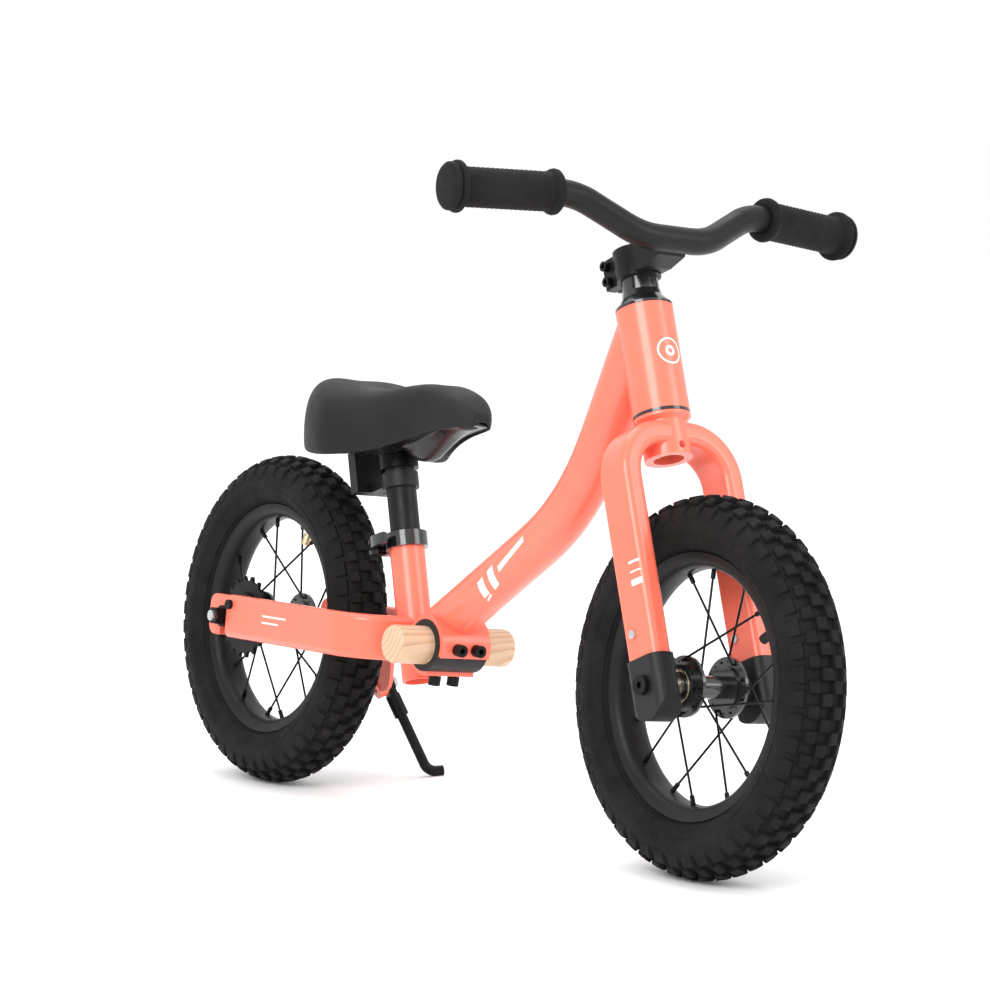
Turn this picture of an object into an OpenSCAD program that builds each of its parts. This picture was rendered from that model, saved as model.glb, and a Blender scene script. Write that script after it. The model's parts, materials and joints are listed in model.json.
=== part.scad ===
// Child's 12-inch balance bike, parked on its kickstand.
// The bike is drawn upright (X forward, Y to its left, Z up, rear contact at x = 0)
// and every part is then leaned over until both tyres and the kickstand foot touch z = 0.

/* [Wheels] */
// Distance between the two wheel axles
wheelbase = 636; // [530:1:780]
// Outer radius of both tyres
tyre_r = 155; // [150:1:190]
// Radius of the tyre's round section
tyre_section_r = 29; // [25:0.5:31]
// Height of the tyre above the rim flange
sidewall_h = 47; // [44:0.5:56]
// Width of the rim
rim_w = 32; // [28:0.5:36]
// Distance between the middles of the two hub flanges
flange_gap = 44; // [42:0.5:50]
// Radius of the hub flanges
flange_r = 25; // [24:0.5:30]
// Radius of the circle of spoke holes in a hub flange
spoke_circle_r = 21; // [20:0.5:22]
// Number of spokes in a wheel
spoke_count = 16; // [16:8:16]
// Radius of a spoke
spoke_r = 1; // [0.8:0.1:1.2]
// Radius of the axle where the wheel bearings run on it
axle_r = 6; // [5:0.5:7]
// Outer radius of a wheel bearing
bearing_r = 14; // [13:0.5:15]
// Width of a wheel bearing
bearing_w = 8; // [7:0.5:9]

/* [Frame] */
// Head angle from the ground
head_angle = 68.3; // [66:0.1:72]
// Height of the head tube's lower end above the front axle, along the steering axis
head_start = 232; // [228:1:290]
// Length of the head tube
head_len = 92; // [80:1:120]
// Outer radius of the head tube
head_r = 24; // [23.5:0.5:27]
// Outer radius of the main tube
main_r = 21; // [18:0.5:22]
// Slope of the main tube where it meets the head tube
main_top_angle = 67; // [60:1:75]
// Radius of the main tube's bend
main_bend_r = 205; // [120:5:220]
// Seat tube angle from the ground
seat_angle = 72.3; // [70:0.1:75]
// Distance of the seat tube's lower end in front of the rear axle
seat_foot_x = 236; // [230:1:245]
// Height of the seat tube's lower end
seat_foot_z = 119; // [112:1:122]
// Length of the seat tube
seat_tube_len = 134; // [120:1:170]
// Wall of the seat tube round the seatpost
seat_tube_wall = 2.25; // [2:0.05:3]
// Outer radius of the seatpost
post_r = 13.6; // [12.5:0.1:14]
// Distance from the middle of the bike to the middle of a chainstay
stay_y = 62; // [58:1:74]
// Height of a chainstay's section
stay_h = 40; // [34:1:42]
// Width of a chainstay's section
stay_w = 16; // [14:0.5:18]
// Radius of the bend that turns a chainstay in to the seat tube
stay_bend_r = 35; // [28:1:38]

/* [Foot rest] */
// Distance of the foot rest in front of the rear axle
rest_x = 276; // [274:1:286]
// Height of the foot rest above the rear axle's height
rest_drop = 0.5; // [0:0.5:4]
// Radius of the wooden foot rest
dowel_r = 17; // [14:0.5:18]
// Length of the wooden foot rest
dowel_len = 125; // [110:1:160]
// Wall of the rubber sleeve round the foot rest
sleeve_wall = 6; // [4:0.5:7]
// Wall of the shell that holds the foot rest
shell_wall = 4; // [3:0.5:5]

/* [Fork and handlebar] */
// Distance from the middle of the bike to the middle of a fork leg
leg_y = 53; // [50:0.5:62]
// Depth of a fork leg, front to back
leg_d = 37; // [30:0.5:38]
// Width of a fork leg
leg_w = 20; // [16:0.5:22]
// Radius of the bend between crown and leg
leg_bend_r = 38; // [30:1:39]
// Outer radius of the steerer tube
steerer_r = 12.7; // [12:0.1:14]
// Outer radius of the handlebar
bar_r = 11.1; // [10:0.1:12.7]
// Half of the handlebar's width, without the ends of the grips
bar_half = 204; // [170:1:250]
// Rise of the handlebar
bar_rise = 32; // [15:1:60]
// Reach of the handlebar in front of the steering axis
bar_reach = 51; // [48:1:70]

/* [Saddle] */
// Length of the saddle
saddle_len = 238; // [200:1:290]
// Width of the saddle at the back
saddle_w = 140; // [116:1:170]
// Height of the saddle cover
saddle_h = 64; // [50:1:76]

/* [Kickstand] */
// Angle that the parked bike leans over
lean = 9.1; // [7:0.1:12]
// Distance of the kickstand's foot from the middle of the bike
foot_y = 112; // [100:1:140]
// Radius of the kickstand's rod
stand_rod_r = 4.8; // [4:0.1:5.5]

/* [Fits] */
// Radial clearance of shafts that turn or slide
running_gap = 0.05; // [0.03:0.01:0.1]
// Gap between neighbours that move past each other
free_gap = 0.4; // [0.3:0.05:1]

/* [Hidden] */
$fn = 96;

paint = [0.99, 0.51, 0.44];
rubber = [0.09, 0.09, 0.1];
black = [0.05, 0.05, 0.06];
pine = [0.87, 0.74, 0.52];
brass = [0.8, 0.65, 0.3];
zinc = [0.75, 0.76, 0.78];
cut = 1;                                   // how far a cutting shape runs past a face
tube_wall = 2;                             // wall of the steel and alloy tubes
head_wall = 3.5;                           // wall of the head tube

// wheels
tube_ring_r = tyre_r - tyre_section_r;     // radius of the middle of the tyre's section
rim_r = tyre_r - sidewall_h;               // radius of the rim flange
rim_depth = 13;                            // flange to the inner face of the rim
rim_bed = 5;                               // thickness of the rim under the tyre
rim_side = 2;                              // thickness of a rim flange
rim_in_r = rim_r - rim_depth;
tyre_wall = 3.5;
flange_w = 3;
flange_y = flange_gap / 2;
bearing_out = flange_y + bearing_w - 1;    // outer face of a wheel bearing
housing_r = bearing_r + 3.5;
collar_r = axle_r + 2.5;                   // shoulder of an axle outside the bearings
nipple_r = 2;
front_valve_angle = 34;
rear_valve_angle = 67.5;
rear_spoke_phase = 11.25;

// rear end of the frame
plate_w = 6;                               // thickness of a dropout plate
rear_bolt_r = 5;                           // rear axle where it passes the dropouts
stay_z = tyre_r + 1;                       // height of the middle of a chainstay
stay_start = 12;                           // a chainstay starts this far ahead of the axle
stay_bend_x = 190;
yoke_x = stay_bend_x + stay_bend_r;
plate_out = stay_y + plate_w / 2;

// foot rest
rest_z = tyre_r - rest_drop;
sleeve_r = dowel_r + sleeve_wall;
shell_r = sleeve_r + shell_wall;
shell_w = 52;
sleeve_w = shell_w + 2;

// head and fork, measured along the steering axis from the front axle
head_end = head_start + head_len;
ring_h = 2.6;                              // black ring under the head tube
crown_top = head_start - ring_h - free_gap;
crown_r = leg_d / 2 + 1.5;
leg_mid = crown_top - 17;                  // middle of a fork leg where it leaves the crown
bend_y = leg_y - leg_bend_r;
leg_straight = leg_mid - leg_bend_r;
leg_end = -14;
crown_low = crown_top - 36;
guard_hole = crown_low + 7;                // mudguard hole through the crown
steerer_low = guard_hole + 5;
cover_wall = 2;
cover_low = -29;
cover_top = 31;
leg_corner = 7;
axle_bolt_r = 3;
bearing_wall = head_r - head_wall;         // outer radius of a headset bearing
cover_start = head_end + free_gap;
cover_h = 15;
spacer_r = steerer_r + 2.8;
stem_low = cover_start + cover_h + 12;
stem_h = 26;
stem_r = steerer_r + 6;
stem_high = stem_low + stem_h;
bar_z = stem_low + 16;
bar_top = bar_z + bar_rise;

// main tube: from the seat tube up to the head tube, with one bend
function head_point(s) = [wheelbase - s * cos(head_angle), 0, tyre_r + s * sin(head_angle)];
main_end = head_point(head_end - 8);
main_top_len = 175;
main_knee = main_end - main_top_len * [cos(main_top_angle), 0, sin(main_top_angle)];
main_start_up = 28;                        // start of the main tube up the seat tube
main_start = [seat_foot_x - main_start_up * cos(seat_angle), 0,
              seat_foot_z + main_start_up * sin(seat_angle)];

// seat, measured along the seat tube from its lower end
clamp_low = seat_tube_len - 12;
clamp_h = 14;
seat_tube_r = post_r + running_gap + seat_tube_wall;
clamp_r = seat_tube_r + 3.6;
post_low = 50;
post_end = 205;
saddle_low = 322;                          // height of the saddle base's flat underside
saddle_x = 62;                             // back of the saddle
lens_w = 36;

// kickstand: pivot, foot on the ground, and the two directions of the leg
lift = tyre_section_r * (1 - cos(lean));
function ground_z(y, r) = (r - lift + y * sin(lean)) / cos(lean);
stand_plate_w = 4;
stand_pivot = [78, stay_y + 11, stay_z - stay_h / 2 - 34];
stand_foot = [100, foot_y, ground_z(foot_y, stand_rod_r)];
stand_down = unit(stand_foot - stand_pivot);
stand_len = norm(stand_foot - stand_pivot);
stand_folded = unit([-1, 0.12, 0.03]);
stand_axis = unit(cross(stand_down, stand_folded));
toe = [0.35, 0.937 * cos(lean), 0.937 * sin(lean)];
toe_len = 15;
toe_bend_r = 12;
eye_r = 9;
eye_w = 8;
pin_r = 3;

// ---------- shared shapes ----------

function unit(v) = v / norm(v);
function turn(p, i) = acos(unit(p[i] - p[i - 1]) * unit(p[i + 1] - p[i]));
function trim(p, i, bend) = i == 0 || i == len(p) - 1 ? 0 : bend * tan(turn(p, i) / 2);
function columns(x, y, z, o) = [
  [x[0], y[0], z[0], o[0]], [x[1], y[1], z[1], o[1]], [x[2], y[2], z[2], o[2]], [0, 0, 0, 1]
];

// frame whose Z runs from a to b
module between(a, b) {
  z = unit(b - a);
  x = unit(cross(abs(z[1]) < 0.9 ? [0, 1, 0] : [1, 0, 0], z));
  multmatrix(columns(x, cross(z, x), z, a)) children();
}

// round bar of radius r along the points p, with bends of radius bend; each bend is
// a hair thicker than the straights and they run into it
module bent_rod(p, r, bend, extra = 0) {
  last = len(p) - 1;
  for (i = [0:last - 1]) {
    d = unit(p[i + 1] - p[i]);
    a = p[i] + d * (i == 0 ? -extra : trim(p, i, bend) - bend_overlap);
    b = p[i + 1] - d * (i == last - 1 ? -extra : trim(p, i + 1, bend) - bend_overlap);
    between(a, b) rotate(seam_turn) cylinder(h = norm(b - a), r = r);
  }
  for (i = [1:1:last - 1]) {
    u = unit(p[i] - p[i - 1]);
    w = unit(p[i + 1] - p[i]);
    n = unit(w - u * (w * u));
    c = p[i] - u * trim(p, i, bend) + n * bend;
    multmatrix(columns(-n, u, cross(-n, u), c)) rotate_extrude(angle = turn(p, i))
      translate([bend, 0]) circle(r + bend_swell);
  }
}
bend_overlap = 0.8;
seam_turn = 30;                            // keeps the straights' seams off the bends' seams
bend_swell = 0.1;

// rectangle w by h with round corners
module rounded(w, h, corner) {
  square([w - 2 * corner, h], center = true);
  square([w, h - 2 * corner], center = true);
  for (x = [-1, 1], y = [-1, 1])
    translate([x * (w / 2 - corner), y * (h / 2 - corner)]) circle(corner);
}

module ring(outer, inner, h) {
  difference() {
    cylinder(h = h, r = outer);
    translate([0, 0, -cut]) cylinder(h = h + 2 * cut, r = inner);
  }
}

// whole bike leaned over its tyres, centred on the ground under its outline
module parked() {
  translate([-wheelbase / 2, -bar_height() * sin(lean), lift])
    rotate([-lean, 0, 0]) children();
}
function bar_height() = head_point(bar_top)[2] + bar_reach * 0.6 * cos(head_angle);

module on_head(s = 0) {
  translate([wheelbase, 0, tyre_r]) rotate([0, head_angle - 90, 0])
    translate([0, 0, s]) children();
}

module on_seat(t = 0) {
  translate([seat_foot_x, 0, seat_foot_z]) rotate([0, seat_angle - 90, 0])
    translate([0, 0, t]) children();
}

// frame of a wheel: Z runs along the axle towards the right side of the bike
module on_axle(x) { translate([x, 0, tyre_r]) rotate([90, 0, 0]) children(); }

module on_rest() { translate([rest_x, 0, rest_z]) rotate([90, 0, 0]) children(); }

module both_sides() { children(); mirror([0, 1, 0]) children(); }

// ---------- frame ----------

module head_tube() color(paint) parked()
  on_head(head_start) ring(head_r, bearing_wall, head_len);

module main_tube() color(paint) parked() {
  path = [main_start, main_knee, main_end];
  difference() {
    bent_rod(path, main_r, main_bend_r);
    bent_rod(path, main_r - tube_wall, main_bend_r, cut);
    on_head(head_start - head_len) cylinder(h = 3 * head_len, r = head_r);
    on_seat(-2 * cut) cylinder(h = seat_tube_len, r = seat_tube_r);
    on_rest() cylinder(h = 4 * main_r, r = shell_r, center = true);
    translate([yoke_x - 2 * stay_w, -2 * main_r, stay_z - stay_h])
      cube([2.5 * stay_w, 4 * main_r, 1.5 * stay_h + cut]);
  }
}

module seat_tube() color(paint) parked()
  on_seat() ring(seat_tube_r, post_r + running_gap, seat_tube_len);

// section of a chainstay, inset by a wall
module stay_section(inset = 0) rounded(stay_w - 2 * inset, stay_h - 2 * inset, 6 - inset);

// half of the U of chainstays on the right, from the dropout to the seat tube
module stay_solid(inset, start) {
  bend_in = stay_y - stay_bend_r;
  translate([start, -stay_y, stay_z]) rotate([90, 0, 90])
    linear_extrude(stay_bend_x - start) stay_section(inset);
  translate([stay_bend_x, -bend_in, stay_z]) rotate([0, 0, -90])
    rotate_extrude(angle = 90) translate([stay_bend_r, 0]) stay_section(inset);
  translate([yoke_x, -bend_in, stay_z]) rotate([90, 0, 180])
    linear_extrude(bend_in) stay_section(inset);
}

module stay_half() difference() {
  stay_solid(0, stay_start);
  stay_solid(tube_wall, stay_start + 14);
  on_seat(-2 * cut) cylinder(h = seat_tube_len, r = seat_tube_r);
  dropout_bolt_place() cylinder(h = dropout_bolt_len, r = 2.5);
}

module chainstay_right() color(paint) parked() stay_half();
module chainstay_left() color(paint) parked() mirror([0, 1, 0]) stay_half();

dropout_bolt_len = 12;
module dropout_bolt_place() {
  translate([stay_start + 6, -(stay_y + stay_w / 2), stay_z + 11])
    rotate([-90, 0, 0]) translate([0, 0, -cut / 100]) children();
}

module dropout_half() {
  back = 25;
  mid = (stay_start - back) / 2;
  translate([0, -stay_y + plate_w / 2, tyre_r]) rotate([90, 0, 0])
    linear_extrude(plate_w) difference() {
      union() {
        translate([mid, 1]) rounded(stay_start + back, stay_h - 2, 10);
        translate([0, 1 - stay_h / 2 + 5]) square([stay_start, stay_h - 8]);
      }
      circle(rear_bolt_r);
      translate([-rear_bolt_r, -stay_h]) square([2 * rear_bolt_r, stay_h]);
    }
}

module dropout_right() color(paint) parked() dropout_half();
module dropout_left() color(paint) parked() mirror([0, 1, 0]) dropout_half();

// ---------- foot rest ----------

seat_gap = 0.6;                            // lets a flat bolt head clear the round shell
open_from = -80;
open_to = -20;
bolt_y = 10;
rest_bolt_r = 2.5;

// places of the four clamp bolts, Z pointing out of the shell
module rest_bolt_places() {
  for (a = [-3, -97], y = [-bolt_y, bolt_y])
    on_rest() rotate([0, 0, a]) translate([0, 0, y]) rotate([0, 90, 0])
      translate([0, 0, sleeve_r]) children();
}

module footrest_shell() color(paint) parked() difference() {
  on_rest() translate([0, 0, -shell_w / 2]) rotate([0, 0, open_to])
    rotate_extrude(angle = 360 - open_to + open_from)
      translate([sleeve_r, 0]) square([shell_wall, shell_w]);
  rest_bolt_places() translate([0, 0, -cut])
    cylinder(h = 2 * shell_wall, r = rest_bolt_r);
}

module footrest_sleeve() color(black) parked()
  on_rest() translate([0, 0, -sleeve_w / 2]) ring(sleeve_r, dowel_r, sleeve_w);

module footrest_dowel() color(pine) parked() {
  edge = 4;
  on_rest() translate([0, 0, -dowel_len / 2]) rotate_extrude() {
    square([dowel_r - edge, dowel_len]);
    translate([0, edge]) square([dowel_r, dowel_len - 2 * edge]);
    for (z = [edge, dowel_len - edge]) translate([dowel_r - edge, z]) circle(edge);
  }
}

module footrest_bolts() color(black) parked() rest_bolt_places() {
  cylinder(h = shell_wall + 2 * seat_gap, r = rest_bolt_r);
  translate([0, 0, shell_wall + seat_gap]) ring(5.5, 2.5, 8);
  translate([0, 0, shell_wall + seat_gap]) cylinder(h = 4, r = 3);
}

// ---------- kickstand ----------

// frame of the fold hinge: X down the leg, Z along the hinge pin
module on_stand() {
  multmatrix(columns(stand_down, cross(stand_axis, stand_down), stand_axis, stand_pivot))
    children();
}

module kickstand_plate() color(paint) parked() {
  top = stay_z - stay_h / 2;
  difference() {
    union() {
      translate([stand_pivot[0] + 3, stay_y + stand_plate_w / 2, top - 20])
        rotate([90, 0, 0]) linear_extrude(stand_plate_w) {
          translate([0, -2]) rounded(38, 36, 12);
          translate([-19, 0]) square([38, 20]);
        }
      on_stand() translate([0, 0, -eye_w / 2 - free_gap - 9]) cylinder(h = 9, r = eye_r);
    }
    on_stand() translate([0, 0, -4 * eye_w]) cylinder(h = 5 * eye_w, r = pin_r);
  }
}

module kickstand_pivot() color(black) parked() on_stand() {
  translate([0, 0, -eye_w / 2 - 4]) cylinder(h = eye_w + 4 + free_gap, r = pin_r);
  translate([0, 0, eye_w / 2 + free_gap]) cylinder(h = 4, r = eye_r - 3);
}

sleeve_rod_r = 7;                          // radius of the upper part of the leg
sleeve_rod_end = 0.36;                     // share of the leg that the upper part covers
module kickstand_sleeve() color(black) parked() on_stand() difference() {
  union() {
    translate([0, 0, -eye_w / 2]) cylinder(h = eye_w, r = eye_r);
    rotate([0, 90, 0]) cylinder(h = stand_len * sleeve_rod_end, r = sleeve_rod_r);
  }
  translate([0, 0, -2 * eye_w]) cylinder(h = 4 * eye_w, r = pin_r + running_gap);
  for (z = [eye_w / 2, -eye_w / 2 - 2 * sleeve_rod_r])
    translate([-2 * eye_r, -2 * eye_r, z]) cube([3 * eye_r + 2, 4 * eye_r, 2 * sleeve_rod_r]);
  rotate([0, 90, 0]) translate([0, 0, eye_r + 6])
    cylinder(h = stand_len, r = stand_rod_r);
}

module kickstand_rod() color(black) parked() {
  start = stand_pivot + stand_down * (eye_r + 6);
  bent_rod([start, stand_foot, stand_foot + toe * toe_len], stand_rod_r, toe_bend_r);
}

// ---------- headset and seat clamp ----------

module headset_bearings() color(zinc) parked()
  for (s = [head_start, head_end - 7])
    on_head(s) ring(bearing_wall, steerer_r + running_gap, 7);

module headset_lower_ring() color(black) parked()
  on_head(head_start - ring_h) ring(head_r, steerer_r + 2, ring_h);

module headset_top_cover() color(black) parked() on_head(cover_start) rotate_extrude()
  polygon([[steerer_r, 0], [head_r, 0], [head_r, 2], [spacer_r + 1.5, cover_h - 5],
           [spacer_r + 0.6, cover_h], [steerer_r, cover_h]]);

module headset_spacer() color(black) parked()
  on_head(cover_start + cover_h) ring(spacer_r, steerer_r, stem_low - cover_start - cover_h);

ear_back = clamp_r + 11.5;                 // how far the clamp ears reach behind the post
ear_w = 8;
barrel_x = -ear_back + 4;
barrel_y = -15.5;
barrel_r = 4;
skewer_t = clamp_h / 2;
skewer_r = 2.5;

module seat_clamp_collar() color(black) parked() on_seat(clamp_low) difference() {
  union() {
    cylinder(h = clamp_h, r = clamp_r);
    translate([-ear_back, -ear_w, 0]) cube([ear_back - seat_tube_r, 2 * ear_w, clamp_h]);
  }
  translate([0, 0, -cut]) cylinder(h = clamp_h - 2 + cut, r = seat_tube_r);
  cylinder(h = clamp_h + cut, r = post_r + free_gap);
  translate([-ear_back - cut, -1.25, -cut]) cube([ear_back, 2.5, clamp_h + 2 * cut]);
  translate([barrel_x, 0, skewer_t]) rotate([90, 0, 0])
    cylinder(h = 4 * ear_w, r = skewer_r, center = true);
}

module seat_clamp_skewer() color(zinc) parked() on_seat(clamp_low) {
  translate([barrel_x, ear_w + 5, skewer_t]) rotate([90, 0, 0])
    cylinder(h = ear_w + 5 - barrel_y, r = skewer_r);
  translate([barrel_x, ear_w + 5, skewer_t]) rotate([90, 0, 0]) cylinder(h = 5, r = 5);
  translate([barrel_x, barrel_y, 0]) cylinder(h = clamp_h, r = barrel_r);
}

module seat_clamp_lever() color(black) parked() on_seat(clamp_low) {
  out = norm([barrel_x, barrel_y]);
  start = 180 + atan(barrel_y / barrel_x) + 4;
  difference() {
    union() {
      translate([barrel_x, barrel_y, 0]) cylinder(h = clamp_h, r = 6.4);
      translate([0, 0, 2]) rotate([0, 0, start]) rotate_extrude(angle = 75)
        translate([out - 2, 0]) square([4.5, clamp_h - 4]);
    }
    translate([barrel_x, barrel_y, -cut])
      cylinder(h = clamp_h + 2 * cut, r = barrel_r + running_gap);
    translate([barrel_x - 11, barrel_y - 7.5, skewer_t - skewer_r - free_gap])
      cube([18.5, 16, 2 * (skewer_r + free_gap)]);
  }
}

// ---------- rear axle ----------

module rear_axle() color(zinc) parked() on_axle(0) {
  plate_in = plate_out - plate_w;
  nut_out = plate_out + 15;
  cylinder(h = 2 * nut_out, r = rear_bolt_r, center = true);
  cylinder(h = 2 * plate_in, r = axle_r, center = true);
  for (s = [-1, 1]) translate([0, 0, s * (bearing_out + 0.3 + plate_in) / 2])
    cylinder(h = plate_in - bearing_out - 0.3, r = collar_r, center = true);
}

module rear_axle_nuts() color(black) parked() both_sides() on_axle(0)
  translate([0, 0, plate_out]) {
    ring(10, rear_bolt_r, 3);
    difference() {
      translate([0, 0, 3]) cylinder(h = 9, r = 8.6, $fn = 6);
      cylinder(h = 20, r = rear_bolt_r);
    }
  }

module dropout_bolts() color(black) parked() both_sides() dropout_bolt_place() {
  cylinder(h = dropout_bolt_len, r = 2.5);
  rotate([180, 0, 0]) cylinder(h = 3.5, r = 4.5);
}

// ---------- fork and handlebar ----------

module leg_section(inset = 0)
  rounded(leg_d - 2 * inset, leg_w - 2 * inset, leg_corner - inset);

module fork_leg() difference() {
  leg_solid(0, leg_end);
  leg_solid(tube_wall, 14);
  on_head() cylinder(h = 2 * head_start, r = crown_r);
  on_head() rotate([90, 0, 0]) cylinder(h = 3 * leg_y, r = axle_bolt_r);
  screw_places() translate([0, 0, -3]) cylinder(h = 4, r = screw_r);
}

// one leg on the right, from below the axle up to the crown
module leg_solid(inset, start) on_head() {
  translate([0, -leg_y, start]) linear_extrude(leg_straight - start) leg_section(inset);
  translate([0, -bend_y, leg_straight]) rotate([0, 90, 0]) rotate([0, 0, 180])
    rotate_extrude(angle = 90) translate([leg_bend_r, 0]) rotate(90) leg_section(inset);
  translate([0, 0, leg_mid]) rotate([90, 0, 0])
    linear_extrude(bend_y) leg_section(inset);
}

screw_r = 1.6;
screw_up = 43;
module screw_places() {
  for (side = [-1, 1]) on_head(screw_up) translate([-4, -leg_y + side * leg_w / 2, 0])
    rotate([-90 * side, 0, 0]) children();
}

module fork_leg_right() color(paint) parked() fork_leg();
module fork_leg_left() color(paint) parked() mirror([0, 1, 0]) fork_leg();

module fork_crown() color(paint) parked() difference() {
  on_head() {
    neck = crown_top - 6;
    translate([0, 0, crown_low]) cylinder(h = neck - crown_low, r = crown_r);
    translate([0, 0, neck]) cylinder(h = 3.5, r1 = crown_r, r2 = head_r);
    translate([0, 0, neck + 3.5]) cylinder(h = 2.5, r = head_r);
  }
  on_head() cylinder(h = 2 * head_start, r = steerer_r);
  on_head(guard_hole) rotate([0, 90, 0]) cylinder(h = 3 * crown_r, r = 3.2, center = true);
}

module steerer_tube() color(zinc) parked()
  on_head(steerer_low) ring(steerer_r, steerer_r - tube_wall, stem_high - steerer_low);

module fork_cover() difference() {
  on_head() intersection() {
    translate([0, -leg_y, cover_low]) linear_extrude(cover_top - cover_low)
      rounded(leg_d + 2 * cover_wall, leg_w + 2 * cover_wall, leg_corner + cover_wall);
    translate([0, -leg_y + leg_w, 0]) rotate([90, 0, 0]) linear_extrude(2 * leg_w) {
      half = leg_d / 2 + cover_wall;
      translate([0, cover_low + half]) circle(half);
      translate([-half, cover_low + half]) square([2 * half, cover_top]);
    }
  }
  leg_solid(0, leg_end);
  on_head() rotate([90, 0, 0]) cylinder(h = 3 * leg_y, r = axle_bolt_r);
}

module fork_cover_right() color(black) parked() fork_cover();
module fork_cover_left() color(black) parked() mirror([0, 1, 0]) fork_cover();

module fork_cover_screws() color(zinc) parked() both_sides() screw_places() {
  translate([0, 0, -tube_wall]) cylinder(h = tube_wall, r = screw_r);
  cylinder(h = 2, r = 3.6);
}

axle_half = leg_y - leg_w / 2 - cover_wall;
axle_bolt_in = 15;
module front_axle() color(zinc) parked() on_axle(wheelbase) difference() {
  union() {
    cylinder(h = 2 * axle_half, r = axle_r, center = true);
    for (s = [-1, 1]) translate([0, 0, s * (axle_half + bearing_out + 0.3) / 2])
      cylinder(h = axle_half - bearing_out - 0.3, r = collar_r, center = true);
  }
  for (s = [-1, 1]) translate([0, 0, s * axle_half])
    cylinder(h = 2 * axle_bolt_in, r = axle_bolt_r, center = true);
}

module front_axle_bolts() color(black) parked() both_sides() on_axle(wheelbase) {
  outer = leg_y + leg_w / 2 + cover_wall;
  translate([0, 0, axle_half - axle_bolt_in])
    cylinder(h = outer - axle_half + axle_bolt_in, r = axle_bolt_r);
  translate([0, 0, outer]) difference() {
    cylinder(h = 4, r = 8);
    translate([0, 0, 1.5]) cylinder(h = 4, r = 3, $fn = 6);
  }
}

stem_w = 28;
module stem() color(black) parked() difference() {
  on_head(stem_low) {
    cylinder(h = stem_h, r = stem_r);
    translate([-stem_r - 12, -11, 0]) cube([stem_r + 12, 22, stem_h]);
    rotate([90, 0, 0]) linear_extrude(stem_w, center = true)
      polygon([[8, 2], [8, stem_h], [bar_reach - 8, stem_h - 1], [bar_reach + 2, 14],
               [bar_reach - 6, 4], [bar_reach / 2, 1]]);
  }
  on_head() cylinder(h = 2 * stem_high, r = steerer_r);
  on_head(bar_z) translate([bar_reach, 0, 0]) rotate([90, 0, 0])
    cylinder(h = 2 * stem_w, r = bar_r, center = true);
  on_head(stem_low - cut) translate([-3 * stem_r, -1, 0])
    cube([3 * stem_r, 2, stem_h + 2 * cut]);
  stem_bolt_places() translate([0, 0, -cut]) cylinder(h = 22 + 2 * cut, r = 2.5);
}

module stem_bolt_places() {
  for (s = [6, stem_h - 6])
    on_head(stem_low + s) translate([-stem_r - 6, -11, 0]) rotate([-90, 0, 0]) children();
}

module stem_bolts() color(black) parked() stem_bolt_places() {
  cylinder(h = 24, r = 2.5);
  translate([0, 0, -5]) ring(4.3, 2, 5);
  translate([0, 0, -2]) cylinder(h = 2, r = 2);
}

bar_bend_r = 60;
sweep = 20;                                // how far the grips' ends sweep back
bar_flat = 34;                             // half of the bar's straight middle
bar_shoulder = 92;                         // where the bar turns out into the grips
function bar_point(side, x, y, z) = [x, side * y, z];
bar_path = [
  bar_point(-1, bar_reach - sweep, bar_half, bar_top),
  bar_point(-1, bar_reach - 6, bar_shoulder, bar_top + 1),
  bar_point(-1, bar_reach, bar_flat, bar_z),
  bar_point(1, bar_reach, bar_flat, bar_z),
  bar_point(1, bar_reach - 6, bar_shoulder, bar_top + 1),
  bar_point(1, bar_reach - sweep, bar_half, bar_top)
];

// the bar is hollow under its grips
bar_bore_len = 90;
module bar_bore() on_head() between(bar_path[0], bar_path[1]) translate([0, 0, -cut])
  cylinder(h = bar_bore_len, r = bar_r - tube_wall);

module handlebar() color(black) parked() difference() {
  on_head() bent_rod(bar_path, bar_r, bar_bend_r);
  bar_bore();
  mirror([0, 1, 0]) bar_bore();
}

grip_len = 96;
grip_r = bar_r + 5;
module grip_half() on_head() between(bar_path[0], bar_path[1]) rotate_extrude()
  polygon([[0, -5.5], [grip_r + 2, -5.5], [grip_r + 3, -4], [grip_r + 5, -2.5],
           [grip_r + 5, 3], [grip_r, 5], [grip_r, grip_len - 6], [grip_r + 2, grip_len - 5],
           [grip_r + 2, grip_len], [bar_r, grip_len], [bar_r, 0], [0, 0]]);

module grip_right() color(rubber) parked() grip_half();
module grip_left() color(rubber) parked() mirror([0, 1, 0]) grip_half();

// ---------- wheels ----------

// places of the spokes: Z runs out along the spoke, with its rim end at the origin
spoke_in = flange_y - flange_w / 2 - 2;    // spokes that start inside their flange
spoke_out = flange_y + flange_w / 2 + 3.5; // spokes that start outside it
spoke_rim_r = rim_in_r + rim_bed;
spoke_rim_y = 1.5;
function polar(r, a, z) = [r * cos(a), r * sin(a), z];

function spoke_side(i) = i % 2 == 0 ? 1 : -1;
function spoke_leads(i) = floor(i / 2) % 2 == 0 ? 1 : -1;
function rim_angle(i, phase) = i * 360 / spoke_count + phase;
function hub_angle(i, phase) = rim_angle(i, phase) - spoke_leads(i) * 45;
function spoke_rim(i, phase) =
  polar(spoke_rim_r, rim_angle(i, phase), spoke_side(i) * spoke_rim_y);
function spoke_hub(i, phase) = polar(spoke_circle_r, hub_angle(i, phase),
  spoke_side(i) * (spoke_leads(i) > 0 ? spoke_in : spoke_out));
function spoke_head(i, phase) = polar(spoke_circle_r, hub_angle(i, phase),
  spoke_side(i) * (spoke_leads(i) > 0 ? flange_y + flange_w / 2 + 1 : flange_y - flange_w / 2 - 1));

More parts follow.
